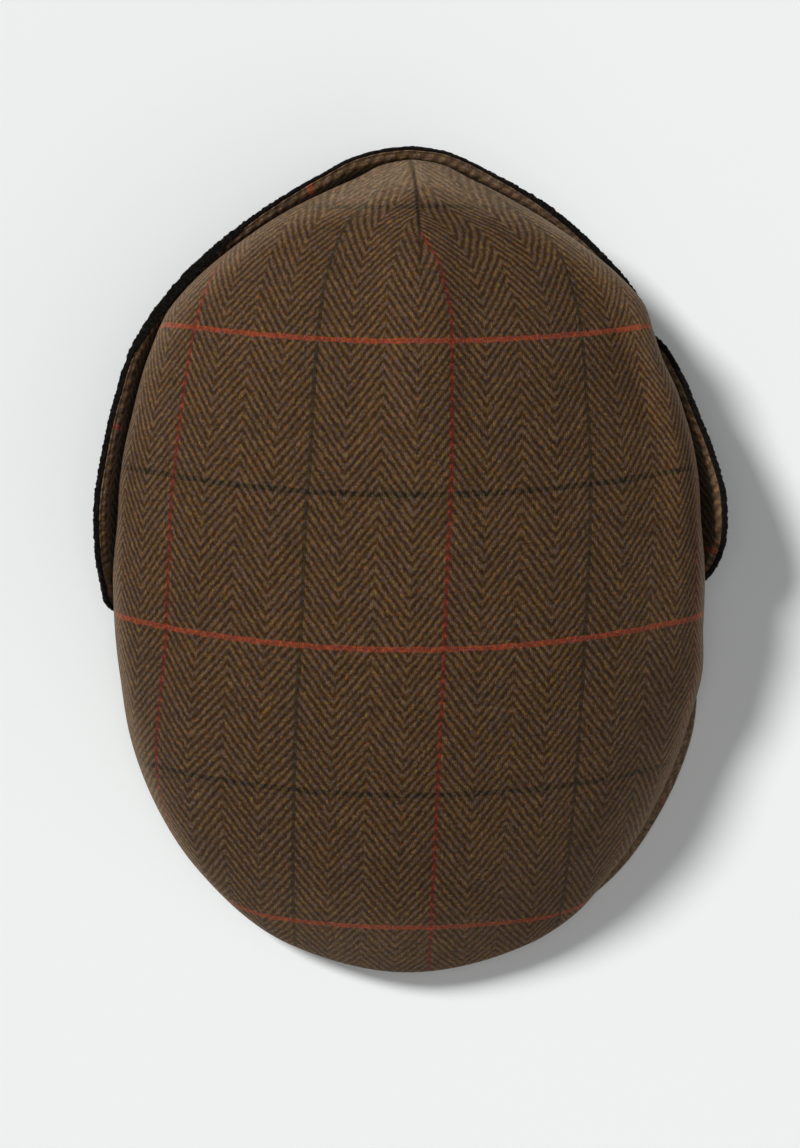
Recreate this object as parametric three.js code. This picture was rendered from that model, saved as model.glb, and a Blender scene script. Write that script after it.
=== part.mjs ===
// A tweed flat cap with its fleece-lined ear flap turned up round the sides and back.
// Millimetres, +Z up. The peak points along -Y, and the cap rests on z = 0.
// Sections are taken round a centre line through the head opening: the angle is 0 at the back,
// 90 at the right ear (+X), -90 at the left ear and 180 at the peak.
import * as THREE from "three";

// Cloth and clearances
const TWEED = 2;
const FLEECE = 2.2;
const FLEECE_FOLD = 3;
const PEAK_BOARD = 4.5;
const PEAK_RIM = 2.4;
const GAP = 0.3;

// Head opening, an oval round the section centre, which is set so that the cap's box is centred
const CENTRE_X = -0.8;
const CENTRE_Y = 20.8;
const OPENING_HALF_WIDTH = 80;
const OPENING_HALF_LENGTH = 99;

// Crown
const CROWN_TOP_Z = 84;
const CROWN_STEP = 5;
const CROWN_RINGS = 11;
const EDGE_RINGS = 3;
const RIDGE = { x: -1, y: 78, across: 9, along: 34, rise: 1.6 };
const DENT = { x: 18, y: 84, across: 13, along: 30, rise: -2.6 };

// Side panels
const BACK_SEAM_ANGLE = 0.08;
const PANEL_FRONT_ANGLE = 125;
const PANEL_UNDER_EDGE = 1.5;
const PANEL_BULGE = 1.5;
const PANEL_RINGS = 5;

// Peak
const PEAK_START_ANGLE = 114;
const PEAK_CORNER_ANGLE = 115;
const PEAK_FULL_ANGLE = 124;
const PEAK_SEAM_ANGLE = 130;
const PEAK_CORNER_WIDTH = 4;
const PEAK_INSET = 1.4;
const PEAK_RINGS = 7;
const PEAK_HOLLOW = 1.4;
const PEAK_ROUNDING = 12;

// Ear flap
const FLAP_LEFT_ANGLE = -113;
const FLAP_RIGHT_ANGLE = 108;
const FLAP_FLARE = 1.8;
const FLAP_RINGS = 9;
const FLAP_BESIDE = 1.8;
const FLAP_END_SPAN = 13;
const FLAP_END_STEP = 2.6;
const RIM_OVER_TWEED = 1.2;

// Crown by angle from the back: how far the edge reaches, how high it is, the height of the seam
// tucked under it, how far the cloth is tucked in, and the flatness and roll of the dome's section.
const CROWN = [
  { at: 0, reach: 120.5, edge: 40, seam: 33, tuck: 6, flat: 2.6, roll: 1.2 },
  { at: 5, reach: 119.1, edge: 40, seam: 33, tuck: 6, flat: 2.6, roll: 1.22 },
  { at: 10, reach: 115.6, edge: 40, seam: 33, tuck: 6, flat: 2.6, roll: 1.25 },
  { at: 20, reach: 111.8, edge: 40, seam: 33, tuck: 6, flat: 2.7, roll: 1.4 },
  { at: 35, reach: 108.8, edge: 40.5, seam: 33.5, tuck: 6, flat: 2.9, roll: 1.7 },
  { at: 50, reach: 108.1, edge: 41, seam: 34, tuck: 6, flat: 3, roll: 1.8 },
  { at: 60, reach: 104.8, edge: 41.5, seam: 34.5, tuck: 6, flat: 3, roll: 1.9 },
  { at: 75, reach: 101.4, edge: 42, seam: 35, tuck: 6, flat: 3, roll: 1.9 },
  { at: 90, reach: 101.8, edge: 41, seam: 34, tuck: 6, flat: 3, roll: 1.9 },
  { at: 105, reach: 107.6, edge: 35, seam: 28, tuck: 6, flat: 3, roll: 1.8 },
  { at: 120, reach: 118.5, edge: 22, seam: 14, tuck: 5, flat: 2.8, roll: 1.6 },
  { at: 130, reach: 129.6, edge: 13, seam: 5.1, tuck: 4, flat: 2.7, roll: 1.5 },
  { at: 140, reach: 140.5, edge: 10, seam: 5.1, tuck: 3.4, flat: 2.6, roll: 1.4 },
  { at: 150, reach: 150.6, edge: 10.4, seam: 5.8, tuck: 3.2, flat: 2.5, roll: 1.3 },
  { at: 165, reach: 162.6, edge: 12, seam: 7.8, tuck: 3, flat: 2.4, roll: 1.2 },
  { at: 180, reach: 166.8, edge: 13, seam: 8.8, tuck: 3, flat: 2.4, roll: 1.2 },
];

// On the right the crown's edge sits back beside the flap, and in front, where the peak shows beyond it.
const RIGHT_EDGE = [
  { at: 0, back: 0, shows: 0 },
  { at: 48, back: 0, shows: 0 },
  { at: 55, back: 2.2, shows: 0 },
  { at: 60, back: 2.6, shows: 0 },
  { at: 68, back: 0.8, shows: 0 },
  { at: 76, back: 0, shows: 0 },
  { at: 112, back: 0, shows: 0 },
  { at: 120, back: -1.6, shows: 2.4 },
  { at: 128, back: 0.8, shows: 3.3 },
  { at: 134, back: 1.8, shows: 2.8 },
  { at: 142, back: 2.3, shows: 2 },
  { at: 150, back: 2, shows: 1.5 },
  { at: 158, back: 0, shows: 0 },
  { at: 180, back: 0, shows: 0 },
];

// Rise of the peak from its rim to its root at the head opening.
const PEAK_RISE = [
  { at: 115, root: 0 },
  { at: 135, root: 2 },
  { at: 150, root: 5 },
  { at: 165, root: 7 },
  { at: 180, root: 8 },
];

// Rim of the turned-up flap on each side: how far its fleece reaches and how high it stands.
const FLAP_LEFT = [
  { at: 0, reach: 124.8, height: 41 },
  { at: 5, reach: 124, height: 41 },
  { at: 10, reach: 122.2, height: 41 },
  { at: 15, reach: 119.2, height: 41 },
  { at: 25, reach: 115.6, height: 40 },
  { at: 34, reach: 114.1, height: 36 },
  { at: 49, reach: 112.8, height: 36 },
  { at: 60, reach: 111.6, height: 42 },
  { at: 70, reach: 109, height: 48 },
  { at: 80, reach: 108.1, height: 51.5 },
  { at: 90, reach: 109.3, height: 52 },
  { at: 97, reach: 110.4, height: 48 },
  { at: 101, reach: 111.3, height: 42 },
  { at: 105, reach: 112, height: 33.5 },
  { at: 108, reach: 111.8, height: 26 },
  { at: 110.5, reach: 109.5, height: 21 },
  { at: 112, reach: 106, height: 19 },
  { at: 113, reach: 103.5, height: 18 },
];
const FLAP_RIGHT = [
  { at: 0, reach: 124.8, height: 41 },
  { at: 5, reach: 124.1, height: 41 },
  { at: 10, reach: 121.6, height: 41 },
  { at: 15, reach: 118.9, height: 41 },
  { at: 25, reach: 115.5, height: 39 },
  { at: 34, reach: 112.8, height: 34 },
  { at: 40, reach: 111.2, height: 32 },
  { at: 46, reach: 109.8, height: 31 },
  { at: 50, reach: 108, height: 31 },
  { at: 55, reach: 105.2, height: 32 },
  { at: 60, reach: 106.2, height: 35 },
  { at: 70, reach: 106, height: 41 },
  { at: 80, reach: 108, height: 43 },
  { at: 88, reach: 110.6, height: 44 },
  { at: 93, reach: 111.4, height: 43 },
  { at: 97, reach: 111.8, height: 39 },
  { at: 100, reach: 111.2, height: 34 },
  { at: 103, reach: 109.6, height: 28 },
  { at: 105.5, reach: 106.8, height: 22 },
  { at: 107, reach: 104, height: 19 },
  { at: 108, reach: 102, height: 18 },
];

const radians = THREE.MathUtils.degToRad;
const lerp = THREE.MathUtils.lerp;

// Smooth value of a table's column at an angle, with no overshoot between rows.
function along(rows, column, at) {
  const value = (i) => rows[i][column];
  const steep = (i) => (value(i + 1) - value(i)) / (rows[i + 1].at - rows[i].at);
  const last = rows.length - 1;
  const slope = (i) => {
    if (i === 0) return steep(0);
    if (i === last) return 0;
    const before = steep(i - 1);
    const after = steep(i);
    return before * after <= 0 ? 0 : (2 * before * after) / (before + after);
  };
  let i = 0;
  while (i < last - 1 && at > rows[i + 1].at) i += 1;
  const width = rows[i + 1].at - rows[i].at;
  const t = THREE.MathUtils.clamp((at - rows[i].at) / width, 0, 1);
  const bend = t * t * (3 - 2 * t);
  const start = slope(i) * width * t * (1 - t) * (1 - t);
  const end = slope(i + 1) * width * t * t * (t - 1);
  return lerp(value(i), value(i + 1), bend) + start + end;
}

// Angle from the back, the same on both sides.
function turn(angle) {
  const round = ((angle % 360) + 540) % 360;
  return Math.abs(round - 180);
}

// Point in space of a section's radius and height.
function place(angle, radius, z) {
  const a = radians(angle);
  const x = CENTRE_X + radius * Math.sin(a);
  return new THREE.Vector3(x, CENTRE_Y + radius * Math.cos(a), z);
}

// Radius of the head opening.
function opening(angle) {
  const a = radians(angle);
  return 1 / Math.hypot(Math.sin(a) / OPENING_HALF_WIDTH, Math.cos(a) / OPENING_HALF_LENGTH);
}

// The crown's section values at an angle. The outline is the reach before the right front edge is
// pulled back.
function crown(angle) {
  const at = turn(angle);
  const section = {};
  for (const column of ["reach", "edge", "seam", "tuck", "flat", "roll"]) {
    section[column] = along(CROWN, column, at);
  }
  section.outline = section.reach;
  if (Math.sin(radians(angle)) > 0) section.reach -= along(RIGHT_EDGE, "back", at);
  return section;
}

// Rise of the pinched cloth ahead of the back dart, at a place on the crown.
function pinch(x, y) {
  let rise = 0;
  for (const fold of [RIDGE, DENT]) {
    const across = (x - fold.x) / fold.across;
    const lengthwise = (y - fold.y) / fold.along;
    rise += fold.rise * Math.exp(-across * across - lengthwise * lengthwise);
  }
  return rise;
}

// Outside of the crown from its middle to its tucked edge, as radius and height.
function crownSection(angle) {
  const c = crown(angle);
  const points = [];
  for (let j = 0; j <= CROWN_RINGS; j += 1) {
    const u = ((j / CROWN_RINGS) * Math.PI) / 2;
    const radius = c.reach * Math.pow(Math.sin(u), 2 / c.flat);
    const drop = 1 - Math.pow(Math.cos(u), 2 / c.roll);
    points.push(new THREE.Vector2(radius, lerp(CROWN_TOP_Z, c.edge, drop)));
  }
  for (let j = 1; j <= EDGE_RINGS; j += 1) {
    const u = ((j / EDGE_RINGS) * Math.PI) / 2;
    const radius = c.reach - c.tuck * (1 - Math.cos(u));
    points.push(new THREE.Vector2(radius, lerp(c.edge, c.seam, Math.sin(u))));
  }
  return points;
}

// Height of the peak's upper face at its rim.
function peakTop(angle) {
  const at = Math.max(turn(angle), PEAK_SEAM_ANGLE);
  return along(CROWN, "seam", at) - GAP;
}

// Radius of the peak's rim, which grows from a narrow corner to the crown's outline.
function peakRim(angle) {
  const at = turn(angle);
  const shows = Math.sin(radians(angle)) > 0 ? along(RIGHT_EDGE, "shows", at) : 0;
  const full = crown(angle).outline - PEAK_INSET + shows;
  const grown = THREE.MathUtils.smoothstep(at, PEAK_START_ANGLE, PEAK_FULL_ANGLE);
  return lerp(opening(angle) + PEAK_CORNER_WIDTH, full, grown);
}

// Lower and upper edge of a side panel's outside.
function panelEdges(angle) {
  const c = crown(angle);
  const onPeak = turn(angle) > PEAK_START_ANGLE;
  const low = onPeak
    ? new THREE.Vector2(peakRim(angle) - PEAK_INSET, peakTop(angle) + GAP)
    : new THREE.Vector2(opening(angle) + TWEED, FLEECE_FOLD + GAP);
  const high = new THREE.Vector2(c.reach - c.tuck + PANEL_UNDER_EDGE, c.seam - GAP);
  return { low, high };
}

// Outside of a side panel from the head opening up to the crown's seam.
function panelSection(angle) {
  const { low, high } = panelEdges(angle);
  const points = [];
  for (let j = 0; j <= PANEL_RINGS; j += 1) {
    const v = j / PANEL_RINGS;
    const point = low.clone().lerp(high, v);
    point.x += PANEL_BULGE * Math.sin(Math.PI * v);
    points.push(point);
  }
  return points;
}

// Radius that the side panel and crown reach at a height.
function bodyRadius(angle, z) {
  const c = crown(angle);
  if (z > c.edge) {
    const left = Math.min(1, (z - c.edge) / (CROWN_TOP_Z - c.edge));
    return c.reach * Math.pow(1 - Math.pow(left, c.roll), 1 / c.flat);
  }
  if (z > c.seam) {
    const down = (c.edge - z) / (c.edge - c.seam);
    return c.reach - c.tuck * (1 - Math.sqrt(1 - down * down));
  }
  const { low, high } = panelEdges(angle);
  const v = THREE.MathUtils.clamp((z - low.y) / (high.y - low.y), 0, 1);
  return lerp(low.x, high.x, v) + PANEL_BULGE * Math.sin(Math.PI * v);
}

// Moves a section's points sideways, to the left of its direction for a positive distance.
function offset(points, distance) {
  return points.map((point, i) => {
    const before = points[Math.max(0, i - 1)];
    const after = points[Math.min(points.length - 1, i + 1)];
    const way = after.clone().sub(before).normalize();
    return new THREE.Vector2(point.x - way.y * distance, point.y + way.x * distance);
  });
}

// A section's points moved away from the centre line.
function widen(points, distance) {
  return points.map((point) => new THREE.Vector2(point.x + distance, point.y));
}

// Reach and height of the flap's rim.
function flapRim(angle) {
  const rows = angle < 0 ? FLAP_LEFT : FLAP_RIGHT;
  const at = Math.abs(angle);
  return { reach: along(rows, "reach", at), height: along(rows, "height", at) };
}

// Height on the tweed face of the flap, from 0 at its fold to 1 at its rim.
function flapHeight(angle, v) {
  return lerp(FLEECE_FOLD + GAP, flapRim(angle).height - RIM_OVER_TWEED, v);
}

// Radius that keeps the flap clear of the cap's side, here and part of the way to the points round it.
function flapClearance(angle, v) {
  let overhang = -Infinity;
  for (const sideways of [-1, 0, 1]) {
    const near = angle + sideways * FLAP_BESIDE;
    for (const upwards of [-0.5, 0, 0.5]) {
      const z = flapHeight(near, v + upwards / FLAP_RINGS);
      overhang = Math.max(overhang, bodyRadius(near, z) - crown(near).reach);
    }
  }
  return crown(angle).reach + overhang + GAP;
}

// Angles of the flap's sections, closer together where its front edges drop.
function flapAngles() {
  const left = FLAP_LEFT_ANGLE + FLAP_END_SPAN;
  const right = FLAP_RIGHT_ANGLE - FLAP_END_SPAN;
  const leftEnd = angles(FLAP_LEFT_ANGLE, left, FLAP_END_STEP);
  const rightEnd = angles(right, FLAP_RIGHT_ANGLE, FLAP_END_STEP);
  return [...leftEnd.slice(0, -1), ...angles(left, right, CROWN_STEP), ...rightEnd.slice(1)];
}

// Tweed face of the flap, from the fold up to its rim.
function flapSection(angle) {
  const rim = flapRim(angle).reach - FLEECE - TWEED - GAP;
  const root = opening(angle) + TWEED + GAP;
  const points = [];
  for (let j = 0; j <= FLAP_RINGS; j += 1) {
    const v = j / FLAP_RINGS;
    const flared = lerp(root, rim, 1 - Math.pow(1 - v, FLAP_FLARE));
    const radius = Math.max(flared, flapClearance(angle, v));
    points.push(new THREE.Vector2(radius, flapHeight(angle, v)));
  }
  return points;
}

// Triangles of a closed shell between two grids of points, a row for each section.
function shell(front, back, looped = false) {
  const corners = [];
  const triangle = (a, b, c) => {
    const thin = a.equals(b) || b.equals(c) || c.equals(a);
    if (!thin) corners.push(a, b, c);
  };
  const quad = (a, b, c, d) => {
    triangle(a, b, c);
    triangle(a, c, d);
  };
  const rows = front.length;
  const last = front[0].length - 1;
  const spans = looped ? rows : rows - 1;
  for (let i = 0; i < spans; i += 1) {
    const k = (i + 1) % rows;
    for (let j = 0; j < last; j += 1) {
      quad(front[i][j], front[k][j], front[k][j + 1], front[i][j + 1]);
      quad(back[i][j], back[i][j + 1], back[k][j + 1], back[k][j]);
    }
    quad(back[i][0], back[k][0], front[k][0], front[i][0]);
    quad(front[i][last], front[k][last], back[k][last], back[i][last]);
  }
  if (!looped) {
    for (let j = 0; j < last; j += 1) {
      quad(front[0][j], front[0][j + 1], back[0][j + 1], back[0][j]);
      quad(back[rows - 1][j], back[rows - 1][j + 1], front[rows - 1][j + 1], front[rows - 1][j]);
    }
  }
  return facingOut(corners);
}

// Geometry of triangles given corner by corner, turned round where they enclose a negative volume.
function facingOut(corners) {
  let volume = 0;
  for (let i = 0; i < corners.length; i += 3) {
    volume += corners[i].dot(corners[i + 1].clone().cross(corners[i + 2]));
  }
  const ordered = volume < 0 ? corners.toReversed() : corners;
  const geometry = new THREE.BufferGeometry().setFromPoints(ordered);
  geometry.computeVertexNormals();
  return geometry;
}

// Angles from first to last, in even steps near the given one.
function angles(first, last, step) {
  const count = Math.round((last - first) / step);
  return Array.from({ length: count + 1 }, (_, i) => lerp(first, last, i / count));
}

// Points in space of one section.
function lift(angle, section) {
  return section.map((point) => place(angle, point.x, point.y));
}

// The one-piece top panel with its rolled edge, open below.
function crownTop() {
  const outside = [];
  const inside = [];
  for (const angle of angles(0, 360 - CROWN_STEP, CROWN_STEP)) {
    const section = crownSection(angle);
    const within = offset(section, -TWEED);
    within[0].set(0, CROWN_TOP_Z - TWEED);
    for (const [grid, points] of [[outside, section], [inside, within]]) {
      const row = lift(angle, points);
      for (const point of row) point.z += pinch(point.x, point.y);
      row[0].copy(grid.length ? grid[0][0] : row[0]);
      grid.push(row);
    }
  }
  return shell(outside, inside, true);
}

// The wall from the head opening to the crown's seam, on the right for side 1 and the left for -1.
function sidePanel(side) {
  const outside = [];
  const inside = [];
  for (const turned of [BACK_SEAM_ANGLE, ...angles(CROWN_STEP, PANEL_FRONT_ANGLE, CROWN_STEP)]) {
    const angle = side * turned;
    const section = panelSection(angle);
    outside.push(lift(angle, section));
    inside.push(lift(angle, widen(section, -TWEED)));
  }
  return shell(outside, inside);
}

// The covered board of the peak, arched across and thinned to its rim.
function peakBoard() {
  const upper = [];
  const lower = [];
  for (const angle of angles(PEAK_CORNER_ANGLE, 360 - PEAK_CORNER_ANGLE, CROWN_STEP)) {
    const root = opening(angle);
    const rim = peakRim(angle);
    const rise = along(PEAK_RISE, "root", turn(angle));
    const over = [];
    const under = [];
    for (let j = 0; j <= PEAK_RINGS; j += 1) {
      const v = Math.sin(((j / PEAK_RINGS) * Math.PI) / 2);
      const radius = lerp(root, rim, v);
      const z = peakTop(angle) + rise * Math.pow(1 - v, PEAK_HOLLOW);
      const thick = lerp(PEAK_BOARD, PEAK_RIM, Math.pow(v, PEAK_ROUNDING));
      over.push(place(angle, radius, z));
      under.push(place(angle, radius, z - thick));
    }
    upper.push(over);
    lower.push(under);
  }
  return shell(upper, lower);
}

// The tweed of the flap, which faces the crown while it is turned up.
function earFlap() {
  const tweedFace = [];
  const tweedBack = [];
  for (const angle of flapAngles()) {
    const section = flapSection(angle);
    tweedFace.push(lift(angle, section));
    tweedBack.push(lift(angle, widen(section, TWEED)));
  }
  return shell(tweedFace, tweedBack);
}

// The fleece lies on the flap's other face and passes under the flap and the side panels,
// where it is pressed flat.
function flapLining() {
  const hidden = [];
  const shown = [];
  for (const angle of flapAngles()) {
    const section = flapSection(angle);
    const against = widen(section, TWEED + GAP);
    const fluffy = widen(against, FLEECE);
    const root = opening(angle);
    against[0].y = FLEECE_FOLD;
    fluffy[0].y = 0;
    for (const face of [against, fluffy]) {
      const rim = face[FLAP_RINGS];
      face.unshift(new THREE.Vector2(root, face[0].y));
      face.push(new THREE.Vector2(rim.x, rim.y + RIM_OVER_TWEED));
    }
    hidden.push(lift(angle, against));
    shown.push(lift(angle, fluffy));
  }
  return shell(hidden, shown);
}

const tweed = new THREE.MeshStandardMaterial({ color: 0x5a4230, roughness: 0.95, metalness: 0 });
const fleece = new THREE.MeshStandardMaterial({ color: 0x141311, roughness: 1, metalness: 0 });

const cap = new THREE.Group();

function add(name, geometry, material) {
  const mesh = new THREE.Mesh(geometry, material);
  mesh.name = name;
  cap.add(mesh);
}

add("crown_top", crownTop(), tweed);
add("side_panel_left", sidePanel(-1), tweed);
add("side_panel_right", sidePanel(1), tweed);
add("peak", peakBoard(), tweed);
add("ear_flap", earFlap(), tweed);
add("flap_lining", flapLining(), fleece);

export default cap;
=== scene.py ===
"""A brown herringbone tweed flat cap on a pale surface, with its fleece-lined ear flap turned up.

Lengths are millimetres until a mesh or the camera is made. Sections are taken round a centre line
through the head opening: the angle is 0 at the back, 90 at the right ear (+X), -90 at the left and
180 at the peak. A pair of numbers says where a smooth rise or fall starts and where it ends.
"""
import math

import bpy
import numpy as np
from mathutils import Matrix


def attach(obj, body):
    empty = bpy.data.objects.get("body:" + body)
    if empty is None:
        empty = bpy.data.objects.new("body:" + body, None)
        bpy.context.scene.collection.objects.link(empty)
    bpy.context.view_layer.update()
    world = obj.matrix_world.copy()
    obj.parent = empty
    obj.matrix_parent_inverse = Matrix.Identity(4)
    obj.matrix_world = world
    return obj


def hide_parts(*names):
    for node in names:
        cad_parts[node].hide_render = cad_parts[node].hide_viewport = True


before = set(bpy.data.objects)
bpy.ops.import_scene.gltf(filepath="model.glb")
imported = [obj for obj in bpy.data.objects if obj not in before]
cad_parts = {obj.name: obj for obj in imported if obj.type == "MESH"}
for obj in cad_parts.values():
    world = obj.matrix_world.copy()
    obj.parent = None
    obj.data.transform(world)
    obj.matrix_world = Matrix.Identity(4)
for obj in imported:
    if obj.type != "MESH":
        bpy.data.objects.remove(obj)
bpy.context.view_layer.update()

MM = 0.001

# Cloth and clearances
TWEED = 2.0
FLEECE = 2.2
FLEECE_FOLD = 3.0
PEAK_BOARD = 4.5
PEAK_RIM = 2.4
GAP = 0.3
RIM_GAP = 0.05

# Head opening
CENTRE_X = -0.8
CENTRE_Y = 20.8
OPENING_HALF_WIDTH = 80.0
OPENING_HALF_LENGTH = 99.0

# Crown: its top, the folds raised on it, the fall of its right side and its slight unevenness
CROWN_TOP_Z = 84.0
RIDGE = {"x": 7, "y": 70, "left": 18, "right": 11, "along": 38, "rise": 4.8}
BULGE = {"x": 70, "y": -84, "left": 28, "right": 20, "along": 48, "rise": 4.5}
SAG = {"from": 2, "deepest": 78, "to": 108, "drop": 11.5}
SAG_FRONT_Y = (-100, 40)
SAG_BACK_Y = (92, 130)
FOLDS_FADE_PART = (0.86, 1)
RIPPLES = {"seed": 5, "count": 14, "shortest": 38, "longest": 90, "rise": 1.4}
RIPPLES_RADIUS = (10, 60)

# Dart at the back: its seam, the width of its pull on the cloth, its groove and its dark line, which is
# stitching with painted shade of the groove
DART_SEAM_X = 2.8
DART_BEND = 2.6
DART_BEND_Y = 112.0
DART_BACK_Y = 141.0
DART_SPREAD = 60.0
DART_LEAN_ANGLE = 14
DART_LEAN_RADIUS = (20, 80)
GROOVE = {"depth": 1.1, "width": 0.6, "swell": 0.6, "beside": 3.2, "spread": 2.4}
GROOVE_START_Y = (108, 124)
SEAM_START_Y = (92, 114)
SEAM_END_Y = (137, 141)

# Side panels and peak
PANEL_BACK_ANGLE = 0.08
PANEL_FRONT_ANGLE = 125
PANEL_UNDER_EDGE = 1.5
PANEL_BULGE = 1.5
PEAK_START_ANGLE = 114
PEAK_CORNER_ANGLE = 115
PEAK_FULL_ANGLE = 124
PEAK_SEAM_ANGLE = 130
PEAK_CORNER_WIDTH = 4
PEAK_INSET = 1.4
PEAK_HOLLOW = 1.4
PEAK_ROUNDING = 12
PEAK_RIM_BULGE = 0.5

# Flap: its ends, its flare, how far round a place it keeps clear of the cap's side, and its lip
FLAP_LEFT_ANGLE = -113
FLAP_RIGHT_ANGLE = 108
FLAP_FLARE = 1.8
FLAP_BESIDE = 1.8
FLAP_ABOVE = 1 / 18
FLAP_CLEAR = 30.0
FLAP_EDGE = 0.6
LIP_RISE = 2.6
LIP_START = 0.92
RIM_OVER_TWEED = 0.6
RIM_SQUARE = 0.4

# Fleece curls: their sizes, shares and seeds, the level that they stand on and where they start
CURL = 1.1
LARGE_CURL = CURL * 2.3
CURL_SHARE = 1.2
LARGE_CURL_SHARE = 0.3
CURL_SEED = 11
LARGE_CURL_SEED = 12
CURL_LEVEL = 0.9
CURL_RISE = 0.42
CURL_START = (0.02, 0.1)
CURL_CELLS = 97
TUFT_PLACE = (0.1, 0.9)
TUFT_HEIGHT = (0.45, 1)
TUFT_REACH = 0.7

# Painted light that pales the cloth, as painted sheen where it is steep and painted light on the back,
# front, right side, peak and lip: its strengths, then the angles, parts of the reach and slopes it covers
BACK_PAINTED_LIGHT = 1.4
SIDE_PAINTED_LIGHT = 1.0
FRONT_PAINTED_LIGHT = 0.45
RIGHT_PAINTED_LIGHT = 0.25
PEAK_PAINTED_LIGHT = 1.4
LIP_PAINTED_LIGHT = 0.7
BACK_TO_SIDE_ANGLE = (6, 24)
SIDE_FADE_ANGLE = (40, 85)
SIDE_SHIFT = 0.05
SIDE_SHIFT_ANGLE = (5, 24)
BACK_LIGHT_PART = (0.84, 0.95)
FRONT_LIGHT_ANGLE = (150, 175)
FRONT_LIGHT_PART = (0.78, 0.95)
RIGHT_LIGHT_ANGLE = (95, 115)
RIGHT_FADE_ANGLE = (165, 178)
RIGHT_LIGHT_PART = (0.6, 0.85)
STEEP_PAINTED_SHEEN = (0.45, 0.7)

# Cloth pattern: where a red column and an orange row cross the crown, and how the cloth is drawn there
RED_COLUMN_X = 11.2
ORANGE_ROW_Y = -29.6
COLUMN_LEAN = 0.042
LEAN_END_Y = 35.0
SIDE_GATHER = 1.02
BACK_GATHER = 0.14
BACK_GATHER_Y = 107.0
BACK_EASE = 0.85
BACK_EASE_Y = 125.0
FRONT_TURN_Y = -82.0
FRONT_SLACK = 0.91
FRONT_EASE = 0.13
FRONT_EASE_S = 115.0
ROW_SAG = 0.00106
ROW_SAG_X = -0.5
RUN_ON_START = 0.8
RUN_ON_RINGS = 6
STEEPEST = 4
FLAP_ROW = -179.0
FLAP_EASE = 0.55
FLAP_CLOTH_RADIUS = 104
FLEECE_CLOTH_RADIUS = 108

# Yarns: widths of one warp yarn (end) and one weft yarn (pick), and counts of them
END = 0.734
PICK = 0.957
TWILL = 4.0
STRIP_ENDS = 17
COLUMN_ENDS = 8 * STRIP_ENDS
ROW_PICKS = 110

# Plan that the dome is measured on: its half sizes and steps, and what keeps sums inside their range
PLAN_HALF_WIDTH = 118
PLAN_HALF_LENGTH = 150
PLAN_STEP = 1.0
MIDDLE_STEP = 0.25
PLAN_EDGE = 0.999
LAST_CELL = 1.001
TINY = 1e-9

# Meshes: angle steps in degrees, and counts of sections, rings and points round an edge
DART_ANGLE = 8
DART_STEP = 0.2
CROWN_STEP = 1.2
DOME_RINGS = 84
ROLL_RINGS = 13
PANEL_SECTIONS = 150
PANEL_RINGS = 16
PEAK_SECTIONS = 220
PEAK_RINGS = 30
FLAP_STEP = 0.6
FLAP_RINGS = 36
FLAP_LIP_RINGS = 18
FLAP_EDGE_POINTS = 8
FLEECE_STEP = 0.25
FLEECE_RINGS = 53
FLEECE_LIP_RINGS = 12
HIDDEN_RING_STEP = 6
RIM_POINTS = 10

# Floor, camera and lights; a light's way over the floor, height and width in degrees, and strength
FLOOR_HALF = 2500
FLOOR_Z = -0.2
CAMERA_PLACE = (-3.95, -3.75, 1390)
SENSOR_HEIGHT = 36
LENS = 120.96
SKY_STRENGTH = 0.07
SUNS = {
    "window": {"travel": (0.79, -0.61), "height": 46, "width": 14, "strength": 3.2},
    "ceiling": {"travel": (0, -1), "height": 90, "width": 34, "strength": 0.46},
    "bounce": {"travel": (-0.75, 0.66), "height": 40, "width": 80, "strength": 0.62},
}


def table(names, *rows):
    """Columns of a table as arrays by name."""
    return dict(zip(names.split(), np.array(rows, float).T))


# Crown by angle: reach and height of its edge, height of its seam, tuck of its roll, two powers
CROWN = table(
    "at reach edge seam tuck flat roll",
    (0, 120.5, 40, 33, 6, 2.6, 1.2),
    (5, 119.1, 40, 33, 6, 2.6, 1.22),
    (10, 115.6, 40, 33, 6, 2.6, 1.25),
    (20, 111.8, 40, 33, 6, 2.7, 1.4),
    (35, 108.8, 40.5, 33.5, 6, 2.9, 1.7),
    (50, 108.1, 41, 34, 6, 3, 1.8),
    (60, 104.8, 41.5, 34.5, 6, 3, 1.9),
    (75, 101.4, 42, 35, 6, 3, 1.9),
    (90, 101.8, 41, 34, 6, 3, 1.9),
    (105, 107.6, 35, 28, 6, 3, 1.8),
    (120, 118.5, 22, 14, 5, 2.8, 1.6),
    (130, 129.6, 13, 5.1, 4, 2.7, 1.5),
    (140, 140.5, 10, 5.1, 3.4, 2.6, 1.4),
    (150, 150.6, 10.4, 5.8, 3.2, 2.5, 1.3),
    (165, 162.6, 12, 7.8, 3, 2.4, 1.2),
    (180, 166.8, 13, 8.8, 3, 2.4, 1.2),
)
# How far the crown's right edge sits back and the peak shows past it, by angle
RIGHT_EDGE = table(
    "at back shows",
    (0, 0, 0), (48, 0, 0), (55, 2.2, 0), (60, 2.6, 0), (68, 0.8, 0), (76, 0, 0), (112, 0, 0),
    (120, -1.6, 2.4), (128, 0.8, 3.3), (134, 1.8, 2.8), (142, 2.3, 2), (150, 2, 1.5), (158, 0, 0),
    (180, 0, 0),
)
# Cloth that the dart takes up on each side of its seam, by distance towards the back
DART = table(
    "at left right",
    (84, 0, 0), (90, 0.2, 1.2), (95, 0.6, 2.7), (100, 1.4, 4.4), (105, 2.6, 6.3), (109, 3.8, 9.4),
    (112.5, 5.1, 11.8), (115, 6.3, 14.5), (118, 8, 19), (121, 11.2, 24), (124, 14, 28), (132, 22, 37),
    (141, 31, 46),
)
# Rise of the peak's root over its rim, by angle
PEAK_RISE = table("at root", (115, 0), (135, 2), (150, 5), (165, 7), (180, 8))
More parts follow.
